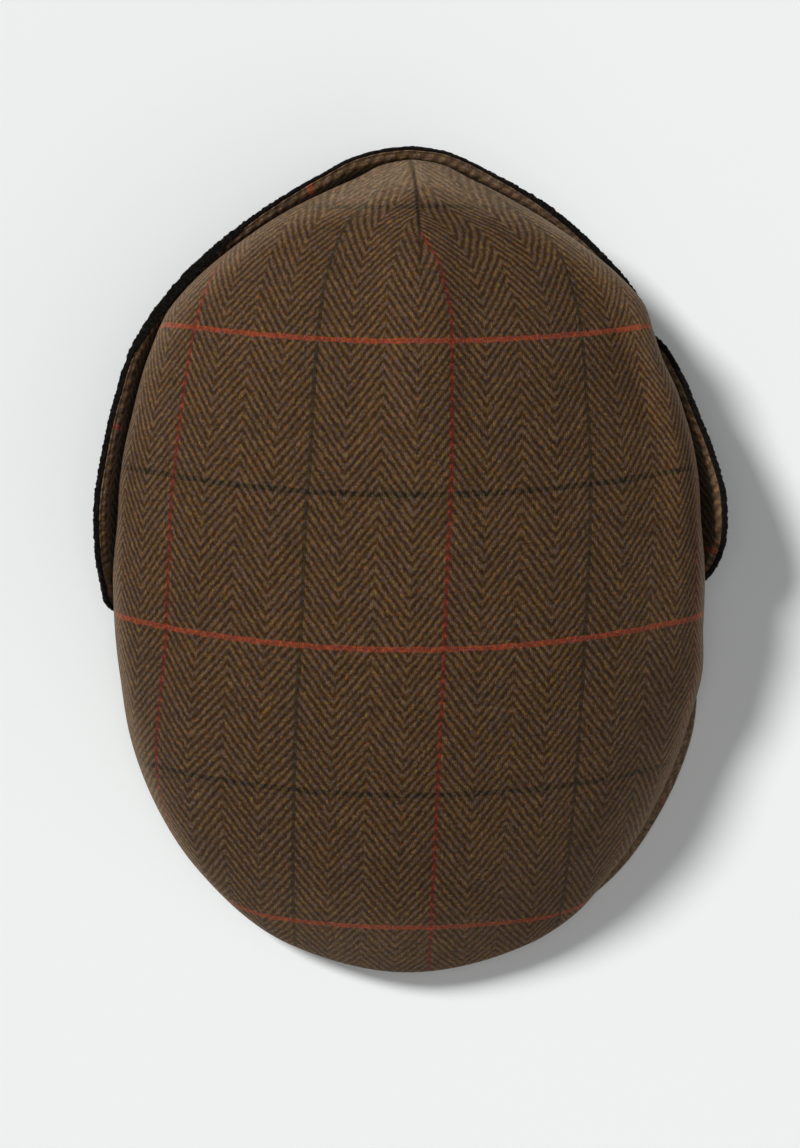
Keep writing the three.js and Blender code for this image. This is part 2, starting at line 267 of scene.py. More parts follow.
# Reach and height of the flap's rim on the left and on the right, by angle
FLAP_LEFT = table(
    "at reach height",
    (0, 124.8, 41), (5, 124, 41), (10, 122.2, 41), (15, 119.2, 41), (25, 115.6, 40), (34, 114.1, 36),
    (49, 112.8, 36), (60, 111.6, 42), (70, 109, 48), (80, 108.1, 51.5), (90, 109.3, 52), (97, 110.4, 48),
    (101, 111.3, 42), (105, 112, 33.5), (108, 111.8, 26), (110.5, 109.5, 21), (112, 106, 19),
    (113, 103.5, 18),
)
FLAP_RIGHT = table(
    "at reach height",
    (0, 124.8, 41), (5, 124.1, 41), (10, 121.6, 41), (15, 118.9, 41), (25, 115.5, 39), (34, 112.8, 34),
    (40, 111.2, 32), (46, 109.8, 31), (50, 108, 31), (55, 105.2, 32), (60, 106.2, 35), (70, 106, 41),
    (80, 108, 43), (88, 110.6, 44), (93, 111.4, 43), (97, 111.8, 39), (100, 111.2, 34), (103, 109.6, 28),
    (105.5, 106.8, 22), (107, 104, 19), (108, 102, 18),
)
# How far the fleece leans over the tweed's edge and how thick it is there, by angle
RIM = table(
    "at over thick",
    (-113, 0, 1.9), (-64, 0, 1.9), (-56, 1.5, 1.9), (-48, 2, 1.9), (-40, 2, 1.9), (-34, 1, 1.8),
    (-28, 0, 1.6), (-9, 0, 0.9), (9, 0, 0.9), (28, 0, 2.1), (48, 0, 2.2), (60, 0, 1.9), (108, 0, 1.9),
)


def along(rows, column, at):
    """A column's value at a place: a cubic through the rows that never overshoots between them."""
    stops, value = rows["at"], rows[column]
    steep = np.diff(value) / np.diff(stops)
    product = steep[:-1] * steep[1:]
    rising = product > 0
    slope = np.zeros(len(value))
    slope[0] = steep[0]
    slope[1:-1] = np.where(rising, 2 * product / np.where(rising, steep[:-1] + steep[1:], 1), 0)
    i = np.clip(np.searchsorted(stops, at) - 1, 0, len(stops) - 2)
    width = np.diff(stops)[i]
    t = np.clip((at - stops[i]) / width, 0, 1)
    straight = lerp(value[i], value[i + 1], t * t * (3 - 2 * t))
    start = slope[i] * width * t * (1 - t) ** 2
    end = slope[i + 1] * width * t * t * (t - 1)
    return straight + start + end


def lerp(a, b, t):
    """The value that lies the fraction t of the way from a to b."""
    return a + (b - a) * t


def smoothstep(x, low, high):
    """Rises from 0 at low to 1 at high with level ends."""
    t = np.clip((x - low) / (high - low), 0, 1)
    return t * t * (3 - 2 * t)


def stretch(x, start, end):
    """Rises from 0 to 1 over the pair start and falls back to 0 over the pair end."""
    return smoothstep(x, *start) * (1 - smoothstep(x, *end))


def bell(x, width):
    """Gaussian of height 1 that falls to 1/e at a width from its middle."""
    return np.exp(-(x / width) ** 2)


def turn(angle):
    """Angle from the back, the same on both sides."""
    return np.abs((np.asarray(angle, float) + 180) % 360 - 180)


def on_right(angle):
    """True on the cap's right side."""
    return np.sin(np.radians(angle)) > 0


def place(angle, radius, z):
    """Points in space at an angle round the centre line, a radius from it and a height."""
    a = np.radians(angle)
    x = CENTRE_X + radius * np.sin(a)
    y = CENTRE_Y + radius * np.cos(a)
    return np.stack(np.broadcast_arrays(x, y, z), -1)


def opening(angle):
    """Radius of the oval head opening."""
    a = np.radians(angle)
    return 1 / np.hypot(np.sin(a) / OPENING_HALF_WIDTH, np.cos(a) / OPENING_HALF_LENGTH)


def crown(angle):
    """The crown's section values at angles; outline is the reach before the right edge sits back."""
    at = turn(angle)
    section = {name: along(CROWN, name, at) for name in CROWN if name != "at"}
    section["outline"] = section["reach"]
    section["reach"] = section["reach"] - np.where(on_right(angle), along(RIGHT_EDGE, "back", at), 0)
    return section


def peak_top(angle):
    """Height of the peak's upper face at its rim."""
    return along(CROWN, "seam", np.maximum(turn(angle), PEAK_SEAM_ANGLE)) - GAP


def peak_rim(angle):
    """Radius of the peak's rim, which grows from a narrow corner to the crown's outline."""
    at = turn(angle)
    shows = np.where(on_right(angle), along(RIGHT_EDGE, "shows", at), 0)
    full = crown(angle)["outline"] - PEAK_INSET + shows
    return lerp(opening(angle) + PEAK_CORNER_WIDTH, full, smoothstep(at, PEAK_START_ANGLE, PEAK_FULL_ANGLE))


def panel_edges(angle):
    """Radius and height of the lower and the upper edge of a side panel."""
    c = crown(angle)
    on_peak = turn(angle) > PEAK_START_ANGLE
    low_r = np.where(on_peak, peak_rim(angle) - PEAK_INSET, opening(angle) + TWEED)
    low_z = np.where(on_peak, peak_top(angle) + GAP, FLEECE_FOLD + GAP)
    return low_r, low_z, c["reach"] - c["tuck"] + PANEL_UNDER_EDGE, c["seam"] - GAP


def panel_radius(low_r, high_r, v):
    """Radius of a side panel from 0 at its lower edge to 1 at its upper one: straight, with a bulge."""
    return lerp(low_r, high_r, v) + PANEL_BULGE * np.sin(np.pi * v)


def body_radius(angle, z):
    """Radius that the crown, its rolled edge or the side panel reaches at a height."""
    c = crown(angle)
    left = np.clip((z - c["edge"]) / (CROWN_TOP_Z - c["edge"]), 0, 1)
    dome = c["reach"] * (1 - left ** c["roll"]) ** (1 / c["flat"])
    down = np.clip((c["edge"] - z) / (c["edge"] - c["seam"]), 0, 1)
    rolled = c["reach"] - c["tuck"] * (1 - np.sqrt(1 - down * down))
    low_r, low_z, high_r, high_z = panel_edges(angle)
    v = np.clip((z - low_z) / (high_z - low_z), 0, 1)
    panel = panel_radius(low_r, high_r, v)
    return np.where(z > c["edge"], dome, np.where(z > c["seam"], rolled, panel))


def flap_rim(angle):
    """Reach and height of the flap's rim."""
    at = np.abs(angle)
    left = np.asarray(angle) < 0
    return [np.where(left, along(FLAP_LEFT, n, at), along(FLAP_RIGHT, n, at)) for n in ("reach", "height")]


def flap_section(angle, v):
    """Radius and height of the flap's tweed face, from 0 at its fold to 1 at its rim.

    It flares from the head opening to the rim, and stays clear of the cap's side here and part of the
    way to the points round it. Near the fold it leaves its flare only as far as its height allows.
    """
    def height(near, part):
        """Height at a part of the way from the fold to the rim."""
        return lerp(FLEECE_FOLD + GAP, flap_rim(near)[1] - RIM_OVER_TWEED, part)

    overhang = -np.inf
    for sideways in (-FLAP_BESIDE, 0, FLAP_BESIDE):
        near = angle + sideways
        for upwards in (-FLAP_ABOVE, 0, FLAP_ABOVE):
            reach = body_radius(near, height(near, v + upwards)) - crown(near)["reach"]
            overhang = np.maximum(overhang, reach)
    root = opening(angle) + TWEED + GAP
    rim = flap_rim(angle)[0] - FLEECE - TWEED - GAP
    flared = lerp(root, rim, 1 - np.clip(1 - v, 0, 1) ** FLAP_FLARE)
    clear = np.minimum(crown(angle)["reach"] + overhang + GAP, flared + FLAP_CLEAR * v)
    return np.maximum(flared, clear), height(angle, v)


def dart_seam(y):
    """Sideways place of the dart's seam: straight ahead of the back, then bent towards its point."""
    back = np.clip((y - DART_BEND_Y) / (DART_BACK_Y - DART_BEND_Y), 0, 1)
    return DART_SEAM_X - DART_BEND * back * back


def dome_height(x, y):
    """Height of the crown over a place in plan, as the dome's section at that angle gives it."""
    dx, dy = x - CENTRE_X, y - CENTRE_Y
    c = crown(np.degrees(np.arctan2(dx, dy)))
    part = np.clip(np.hypot(dx, dy) / c["reach"], 0, PLAN_EDGE)
    return c["edge"] + (CROWN_TOP_Z - c["edge"]) * (1 - part ** c["flat"]) ** (1 / c["roll"])


def even_steps(half, step):
    """Even positions from minus a half size to plus it."""
    return np.arange(-half, half + step / 2, step)


def measured(values, positions, zero):
    """Length along curves given by heights at even positions, from the position zero, steep rises capped."""
    step = positions[1] - positions[0]
    slope = np.gradient(values, step, axis=0)
    length = np.cumsum(np.sqrt(1 + np.minimum(slope, STEEPEST) ** 2), axis=0) * step
    return length - length[np.argmin(np.abs(positions - zero))]


def sampled(values, xs, ys, x, y):
    """Values on an even grid of xs by ys, blended between the four places round each x, y."""
    i = np.clip((x - xs[0]) / (xs[1] - xs[0]), 0, len(xs) - LAST_CELL)
    j = np.clip((y - ys[0]) / (ys[1] - ys[0]), 0, len(ys) - LAST_CELL)
    a, b = i.astype(int), j.astype(int)
    low = lerp(values[a, b], values[a + 1, b], i - a)
    high = lerp(values[a, b + 1], values[a + 1, b + 1], i - a)
    return lerp(low, high, j - b)


def dome_cloth(x, y):
    """Cloth coordinates of places on the dome, before the dart.

    Across the cloth they are the length over the dome from the red column at the same y, less the
    columns' lean, gathered towards the back and eased towards the front. Along it they are the length
    over the centre line to the row that sags through there.
    """
    xs = even_steps(PLAN_HALF_WIDTH, PLAN_STEP)
    ys = even_steps(PLAN_HALF_LENGTH, PLAN_STEP)
    across = measured(dome_height(xs[:, None], ys[None, :]), xs, RED_COLUMN_X)
    middle = even_steps(PLAN_HALF_LENGTH, MIDDLE_STEP)
    forward = measured(dome_height(np.full_like(middle, CENTRE_X), middle), middle, ORANGE_ROW_Y)
    edge = np.interp(BACK_EASE_Y, middle, forward)
    front = np.interp(FRONT_TURN_Y, middle, forward)
    forward = np.where(middle > BACK_EASE_Y, edge + BACK_EASE * (middle - BACK_EASE_Y), forward)
    forward = np.where(middle < FRONT_TURN_Y, front + FRONT_SLACK * (forward - front), forward)
    level = y - ROW_SAG * (x - ROW_SAG_X) ** 2
    s = sampled(across, xs, ys, x, y) - COLUMN_LEAN * (np.minimum(y, LEAN_END_Y) - ORANGE_ROW_Y)
    gather = SIDE_GATHER + BACK_GATHER * (np.maximum(y, 0) / BACK_GATHER_Y) ** 2
    ease = 1 - FRONT_EASE * smoothstep(-y, 0, -FRONT_TURN_Y) * (s / FRONT_EASE_S) ** 2
    return s * gather * ease, np.interp(level, middle, forward)


def ripples(x, y, seed, count, shortest, longest, rise):
    """Gentle unevenness: the mean of seeded plane waves whose lengths lie between two limits."""
    rng = np.random.default_rng(seed)
    way = rng.uniform(0, 2 * np.pi, count)
    wave = 2 * np.pi / rng.uniform(shortest, longest, count)
    start = rng.uniform(0, 2 * np.pi, count)
    phase = wave * (np.cos(way) * x[..., None] + np.sin(way) * y[..., None]) + start
    return rise * np.sin(phase).mean(-1)


def folds(x, y):
    """Rise of the cloth where it is drawn up: long folds of Gaussian section, steeper on one side."""
    rise = 0
    for fold in (RIDGE, BULGE):
        off = x - fold["x"]
        across = bell(off, np.where(off < 0, fold["left"], fold["right"]))
        rise = rise + fold["rise"] * across * bell(y - fold["y"], fold["along"])
    return rise


def sag(x, y):
    """Fall of the crown's right side: down in a smooth slope to a line along the cap, then back up."""
    across = stretch(x, (SAG["from"], SAG["deepest"]), (SAG["deepest"], SAG["to"]))
    return -SAG["drop"] * across * stretch(y, SAG_FRONT_Y, SAG_BACK_Y)


def dart_groove(x, y):
    """The sewn dart: a narrow groove along its seam with the cloth swelling softly beside it."""
    off = x - dart_seam(y)
    groove = -GROOVE["depth"] * bell(off, GROOVE["width"])
    swell = GROOVE["swell"] * bell(np.abs(off) - GROOVE["beside"], GROOVE["spread"])
    return smoothstep(y, *GROOVE_START_Y) * (groove + swell)


def grid_quads(columns, rings, wrap, loop):
    """Columns and rings of each quad's corners in a grid, and of the quads that close a loop's ends."""
    spans = np.arange(columns if wrap else columns - 1), np.arange(rings if loop else rings - 1)
    i, j = (grid.ravel() for grid in np.meshgrid(*spans, indexing="ij"))
    ci = np.stack([i, i + 1, i + 1, i], -1)
    cj = np.stack([j, j, j + 1, j + 1], -1)
    if loop:
        k = np.arange(rings // 2 - 1)
        across = np.stack([k, k + 1, rings - 2 - k, rings - 1 - k], -1)
        ci = np.vstack([ci, np.zeros_like(across), np.full_like(across, columns - 1)])
        cj = np.vstack([cj, across, across[:, ::-1]])
    return ci, cj


def enclosed(quads):
    """Volume that quads enclose, negative where they face inwards: the sum of their corners' products."""
    a, b, c, d = np.moveaxis(quads, 1, 0)
    halves = np.einsum("ij,ij->i", a, np.cross(b, c)) + np.einsum("ij,ij->i", a, np.cross(c, d))
    return halves.sum() / 6


def add_surface(name, points, cloth, wrap=False, pole=False, loop=False, marks=None):
    """Mesh of a grid of points in millimetres, a quad between each four neighbours.

    A wrapped grid joins its last column to its first, and a looped one its last ring to its first and
    closes both ends with quads across the loop. There the cloth coordinates have one column or ring
    more, so that they may differ across a seam. With a pole the first ring is one point. Marks are
    named values of the points that the material reads.
    """
    columns, rings = points.shape[:2]
    ci, cj = grid_quads(columns, rings, wrap, loop)
    index = (ci % columns) * rings + cj % rings
    drawn = cloth[ci, cj]
    vertices = points.reshape(-1, 3)
    if loop and enclosed(vertices[index]) < 0:
        index, drawn = index[:, ::-1], drawn[:, ::-1]
    faces, corners = index.tolist(), drawn.reshape(-1, 2)
    used = np.arange(len(vertices))
    if pole:
        inner = (cj == 0).any(-1)
        fan = index[inner][:, [0, 2, 3]]
        fan[:, 0] = 0
        corners = np.vstack([drawn[~inner].reshape(-1, 2), drawn[inner][:, [0, 2, 3]].reshape(-1, 2)])
        used = np.concatenate([[0], np.flatnonzero(used % rings)])
        number = np.zeros(len(vertices), int)
        number[used] = np.arange(len(used))
        faces = number[index[~inner]].tolist() + number[fan].tolist()
    mesh = bpy.data.meshes.new(name)
    mesh.from_pydata((vertices[used] * MM).tolist(), [], faces)
    mesh.uv_layers.new(name="cloth").data.foreach_set("uv", (corners * MM).ravel())
    mesh.polygons.foreach_set("use_smooth", np.ones(len(faces), bool))
    for mark, values in (marks or {}).items():
        mesh.attributes.new(mark, "FLOAT", "POINT").data.foreach_set("value", values.ravel()[used])
    mesh.update()
    obj = bpy.data.objects.new(name, mesh)
    bpy.context.scene.collection.objects.link(obj)
    return obj


def outward(points):
    """Unit directions away from a looped grid's surface, from its differences both ways."""
    along_grid = np.gradient(points, axis=0)
    round_loop = np.roll(points, -1, 1) - np.roll(points, 1, 1)
    way = np.cross(along_grid, round_loop)
    way /= np.maximum(np.linalg.norm(way, axis=-1, keepdims=True), TINY)
    middle = points.mean(1, keepdims=True)
    return way * np.sign(np.einsum("ijk,ijk->", way, points - middle))


def steepness(points):
    """How far a wrapped grid leans from level: 0 where it lies flat and 1 where it stands upright."""
    round_grid = np.roll(points, -1, 0) - np.roll(points, 1, 0)
    way = np.cross(round_grid, np.gradient(points, axis=1))
    steep = 1 - np.abs(way[..., 2]) / np.maximum(np.linalg.norm(way, axis=-1), TINY)
    steep[:, 0] = 0
    return steep


def curls(u, v, size, seed):
    """Curled pile, 0 to 1: the highest of rounded tufts that stand on a jittered lattice."""
    rng = np.random.default_rng(seed)
    nudge = rng.uniform(*TUFT_PLACE, (CURL_CELLS, CURL_CELLS, 2))
    grown = rng.uniform(*TUFT_HEIGHT, (CURL_CELLS, CURL_CELLS))
    iu, iv = np.floor(u / size).astype(int), np.floor(v / size).astype(int)
    best = np.zeros(np.broadcast(u, v).shape)
    for du in (-1, 0, 1):
        for dv in (-1, 0, 1):
            cell = (iu + du) % CURL_CELLS, (iv + dv) % CURL_CELLS
            off_u = u / size - (iu + du + nudge[cell][..., 0])
            off_v = v / size - (iv + dv + nudge[cell][..., 1])
            tuft = np.sqrt(np.clip(1 - (off_u ** 2 + off_v ** 2) / TUFT_REACH, 0, 1))
            best = np.maximum(best, grown[cell] * tuft)
    return best


def travelled(radius, height):
    """Length along sections from their first point."""
    steps = np.hypot(np.diff(radius, axis=1), np.diff(height, axis=1))
    return np.hstack([np.zeros((len(radius), 1)), np.cumsum(steps, axis=1)])


def half_circle(count):
    """Angles of points spread over a half circle, without its two ends."""
    return np.linspace(0, np.pi, count)[None, 1:-1]


def closed_cloth(s, t):
    """Cloth coordinates of a looped grid, run on by one more ring past its last."""
    cloth = np.stack(np.broadcast_arrays(s, t), -1)
    return np.concatenate([cloth, 2 * cloth[:, -1:] - cloth[:, -2:-1]], 1)


def thicken(obj, thickness):
    """Gives a surface its cloth's thickness on the inside."""
    wall = obj.modifiers.new("cloth thickness", "SOLIDIFY")
    wall.thickness = thickness * MM
    wall.offset = -1
    return obj


class Value:
    """A shader socket. Operators on it add Math nodes, and node() adds any other node."""

    def __init__(self, tree, socket=None):
        self.tree = tree
        self.socket = socket

    def node(self, kind, settings=None, inputs=None, output=0):
        """Adds a node, sets its settings, then the values or links of its sockets; gives one output."""
        made = self.tree.nodes.new(kind)
        for name, setting in (settings or {}).items():
            setattr(made, name, setting)
        for name, value in (inputs or {}).items():
            socket = made.inputs[name]
            if isinstance(value, Value):
                self.tree.links.new(value.socket, socket)
            else:
                socket.default_value = value
        return Value(self.tree, made.outputs[output])

    def math(self, operation, first, second=0.0):
        """Adds a Math node on one or two values."""
        return self.node("ShaderNodeMath", {"operation": operation}, {0: first, 1: second})

    def __add__(self, other):
        return self.math("ADD", self, other)

    def __sub__(self, other):
        return self.math("SUBTRACT", self, other)

    def __rsub__(self, other):
        return self.math("SUBTRACT", other, self)

    def __mul__(self, other):
        return self.math("MULTIPLY", self, other)

    def __truediv__(self, other):
        return self.math("DIVIDE", self, other)

    def __rtruediv__(self, other):
        return self.math("DIVIDE", other, self)

    def __mod__(self, other):
        return self.math("FLOORED_MODULO", self, other)

    def __abs__(self):
        return self.math("ABSOLUTE", self)

    def __lt__(self, other):
        return self.math("LESS_THAN", self, other)

    __radd__ = __add__
    __rmul__ = __mul__

    def floor(self):
        """The whole number at or below this value."""
        return self.math("FLOOR", self)

    def ramp(self, low, high):
        """Rises smoothly from 0 at low to 1 at high."""
        return self.node(
            "ShaderNodeMapRange",
            {"interpolation_type": "SMOOTHSTEP", "clamp": True},
            {"Value": self, "From Min": low, "From Max": high},
        )

    def mixed(self, a, b):
        """Colour a where this value is 0, b where it is 1."""
        return self.node("ShaderNodeMix", {"data_type": "RGBA"}, {0: self, 6: rgba(a), 7: rgba(b)}, 2)


def rgba(colour):
    """A colour socket as it is, or a colour's numbers with full opacity."""
    return colour if isinstance(colour, Value) else (*colour, 1)


def srgb(colour):
    """Linear colour of an sRGB colour given as 0 to 255."""
    c = np.array(colour) / 255
    return tuple(float(v) for v in np.where(c <= 0.04045, c / 12.92, ((c + 0.055) / 1.055) ** 2.4))


def noise(where, scale, detail, roughness=0.5, dimensions="2D", output=0):
    """Smooth noise at a place: its value, or three values as a colour from output 1."""
    return where.node("ShaderNodeTexNoise", {"noise_dimensions": dimensions},
                      {"Vector": where, "Scale": scale, "Detail": detail, "Roughness": roughness}, output)


def chance(x, y, z=0.0):
    """A random value from 0 to 1 for each x, y and z."""
    cell = x.node("ShaderNodeCombineXYZ", {}, {0: x, 1: y, 2: z})
    return x.node("ShaderNodeTexWhiteNoise", {"noise_dimensions": "3D"}, {"Vector": cell})


def vector_math(operation, first, second):
    """A Vector Math node on two vectors, the first of them a socket."""
    return first.node("ShaderNodeVectorMath", {"operation": operation}, {0: first, 1: second})


def scaled(vector, amount):
    """A vector or colour times a value."""
    return vector.node("ShaderNodeVectorMath", {"operation": "SCALE"}, {0: vector, "Scale": amount})


def channel(vector, number):
    """One of a vector's three values."""
    return vector.node("ShaderNodeSeparateXYZ", {}, {0: vector}, number)


def bumped(height, strength, distance):
    """Normal of a surface with small heights on it, their scale in metres."""
    return height.node("ShaderNodeBump", {}, {"Height": height, "Strength": strength, "Distance": distance})


def new_material(name, constants):
    """A material, its tree's start for Value, and its Principled shader with constants on its sockets."""
    material = bpy.data.materials.new(name)
    material.use_nodes = True
    tree = material.node_tree
    shader = tree.nodes["Principled BSDF"]
    for socket, value in constants.items():
        shader.inputs[socket].default_value = value
    return material, Value(tree), shader


def link(value, shader, socket):
    """Feeds a shader's socket."""
    value.tree.links.new(value.socket, shader.inputs[socket])


# Noises of the materials: scale for each millimetre of cloth, or each metre of pile and floor
CLOTH_NOISE = {
    "wander": {"scale": 0.3, "detail": 2.0, "output": 1},
    "slip": {"scale": 1.0, "detail": 0.0},
    "fibre": {"scale": 1.6, "detail": 3.0, "roughness": 0.7},
    "drift": {"scale": 0.09, "detail": 2.0},
    "dyed": {"scale": 0.62, "detail": 2.0, "roughness": 0.6, "output": 1},
    "cloudy": {"scale": 0.16, "detail": 3.0},
}
PILE_NOISE = {"scale": 900.0, "detail": 4.0, "dimensions": "3D"}
FLOOR_NOISE = {"scale": 3.0, "detail": 2.0, "dimensions": "3D"}

# Weave: how far a place wanders and an end slips, how fibres blur a float's borders, and yarn heights;
# a layer keeps one draw of chance apart from another
WANDER = 0.9
SLIP = 1.2
SLIP_STEPS = {"end": 3.7, "pick": 0.45}
FIBRE_BLUR = 1.7
FLOAT_BORDER = (0.25, 1.75)
YARN_FALL = 0.7
YARN_SIDE = (0.2, 1.0)
WARP_RISE = 1.25
WARP_FALL = 0.5
WEFT_RISE = 0.55
WEFT_FLOAT_ENDS = 3.0
WEFT_LAYER = 7.0
OVERCHECK_YARNS = 2

# Tone of the tweed: what each part adds or takes away, with painted shade in the hollows between yarns, at
# the seam beside its stitching, and painted light from the light mark. Then bumps, and where noise turns
# into colour
TONE = {"base": 0.31, "cloud": 0.3, "shaded_hollow": 0.8, "rise": 0.25, "seam": 0.65, "painted_light": 0.9}
TUFT_TONE = {"least": 0.68, "chance": 0.64, "picks": 1.4, "layer": 3.0}
PAINTED_LIGHT_COVER = 0.45
BUMP_RISE = 0.6
BUMP_FIBRE = 0.5
TWEED_BUMP = {"strength": 0.5, "distance": 0.0004}
PILE_BUMP = {"strength": 0.7, "distance": 0.0008}
DRIFT_RAMP = (0.35, 0.65)
PATCH_RAMP = (0.52, 0.7)
PILE_RAMP = (0.35, 0.8)

# Colours of the yarns and the pile in sRGB, 0 to 255; each pair is mixed by chance or noise
WARP_COLOURS = (89, 69, 50), (98, 75, 55)
WEFT_COLOURS = (54, 33, 10), (65, 41, 14)
# Paler colour mixed in where painted sheen and painted light lie on the cloth
PAINTED_LIGHT_COLOUR = (86, 74, 60)
FLEECE_COLOURS = (6, 5, 4), (26, 22, 18)
# Overcheck yarns: cover and colour where one lies on top, and the tinge that it gives a yarn over it
OVERCHECK_ENDS = {
    "red": {"first": 0, "cover": 0.8, "colour": (120, 38, 32), "tinge": 0.5, "under": (92, 30, 22)},
    "dark": {"first": 0.5, "cover": 0.68, "colour": (38, 40, 30), "tinge": 0.3, "under": (26, 27, 18)},
}
OVERCHECK_PICKS = {
    "orange": {"first": 0, "cover": 0.93, "colour": (132, 54, 32), "tinge": 0.65, "under": (142, 58, 34)},
    "dark": {"first": 0.5, "cover": 0.95, "colour": (20, 18, 4), "tinge": 0.4, "under": (40, 34, 16)},
}
# Tints that multiply the wool's colour: two that drift over the cloth, and three in soft patches
DRIFT_TINTS = (0.95, 0.97, 1.12), (1.05, 1.02, 0.86)
PATCH_TINTS = {"rusty": (1.5, 1.0, 0.5), "olive": (1.25, 1.4, 0.5), "mauve": (0.82, 0.88, 1.6)}
# Linear colours of the floor
FLOOR_COLOURS = (0.785, 0.808, 0.800), (0.800, 0.822, 0.815)


def weave(cloth):
    """The herringbone at a place in the cloth: yarn counts, fibre noise, warp cover and yarn height.

    The place wanders a little, and the counts of ends and picks follow from it. A warp yarn floats over
    two picks and under two, a step later on each next end, and the steps turn round at every strip.
    Each end slips a little along itself, and fibres blur the borders of the floats. The height is
    that of the yarn on top, rounded across the yarn and falling towards a float's ends.
    """
    wander = noise(cloth, **CLOTH_NOISE["wander"])
    shift = cloth.node("ShaderNodeVectorMath", {"operation": "MULTIPLY_ADD"},
                       {0: wander, 1: (WANDER, WANDER, 0), 2: (-WANDER / 2, -WANDER / 2, 0)})
    drawn = vector_math("ADD", cloth, shift)
    ends, picks = channel(drawn, 0) / END, channel(drawn, 1) / PICK
    end, pick = ends.floor(), picks.floor()

    in_strip = ends % STRIP_ENDS
    turned = (ends / STRIP_ENDS).floor() % 2.0
    beside = cloth.node("ShaderNodeCombineXYZ", {},
                        {0: end * SLIP_STEPS["end"], 1: picks * SLIP_STEPS["pick"]})
    slip = noise(beside, **CLOTH_NOISE["slip"])
    climb = picks + in_strip + turned * (STRIP_ENDS - 2.0 * in_strip) + 1.0 + (slip - 0.5) * SLIP
    fibre = noise(cloth, **CLOTH_NOISE["fibre"])
    from_middle = abs(climb % TWILL - TWILL / 2) + (fibre - 0.5) * FIBRE_BLUR
    warp_up = 1 - from_middle.ramp(*FLOAT_BORDER)

    round_warp = 1 - YARN_FALL * (abs(ends - end - 0.5) * 2.0).ramp(*YARN_SIDE)
    round_weft = 1 - YARN_FALL * (abs(picks - pick - 0.5) * 2.0).ramp(*YARN_SIDE)
    warp_rise = (WARP_RISE - WARP_FALL * from_middle) * round_warp
    weft_rise = round_weft * WEFT_RISE
    rise = weft_rise + warp_up * (warp_rise - weft_rise)
    return {"ends": ends, "picks": picks, "end": end, "pick": pick, "float": (climb / TWILL).floor(),
            "fibre": fibre, "warp_up": warp_up, "rise": rise}


def yarn_colour(woven):
    """Colour of the yarn on top, with the overcheck's two yarns in each repeat over the plain ones.

    Plain yarns vary by chance from float to float. An overcheck yarn covers the plain one where it lies
    on top, and gives a tinge to the yarn that lies over it elsewhere.
    """
    def marked(yarn, repeat, style):
        """1 on the overcheck's two yarns in each repeat, and 0 on the others."""
        return ((yarn + 1.0 + style["first"] * repeat) % repeat) < OVERCHECK_YARNS - 0.5

    end, pick, warp_up = woven["end"], woven["pick"], woven["warp_up"]
    warp = chance(end, woven["float"]).mixed(*map(srgb, WARP_COLOURS))
    weft_chance = chance((woven["ends"] / WEFT_FLOAT_ENDS).floor(), pick, WEFT_LAYER)
    weft = weft_chance.mixed(*map(srgb, WEFT_COLOURS))
    for style in OVERCHECK_ENDS.values():
        warp = (marked(end, COLUMN_ENDS, style) * style["cover"]).mixed(warp, srgb(style["colour"]))
    for style in OVERCHECK_PICKS.values():
        weft = (marked(pick, ROW_PICKS, style) * style["cover"]).mixed(weft, srgb(style["colour"]))
    colour = warp_up.mixed(weft, warp)
    for style in OVERCHECK_PICKS.values():
        tinge = marked(pick, ROW_PICKS, style) * warp_up * style["tinge"]
        colour = tinge.mixed(colour, srgb(style["under"]))
    for style in OVERCHECK_ENDS.values():
        tinge = marked(end, COLUMN_ENDS, style) * (1 - warp_up) * style["tinge"]
        colour = tinge.mixed(colour, srgb(style["under"]))
    return colour


def wool_tint(cloth):
    """Tint of the dyed wool: a slow drift between two tints with soft patches of three hues on it."""
    tint = noise(cloth, **CLOTH_NOISE["drift"]).ramp(*DRIFT_RAMP).mixed(*DRIFT_TINTS)
    dyed = noise(cloth, **CLOTH_NOISE["dyed"])
    for number, hue in enumerate(PATCH_TINTS.values()):
        tint = channel(dyed, number).ramp(*PATCH_RAMP).mixed(tint, hue)
    return tint


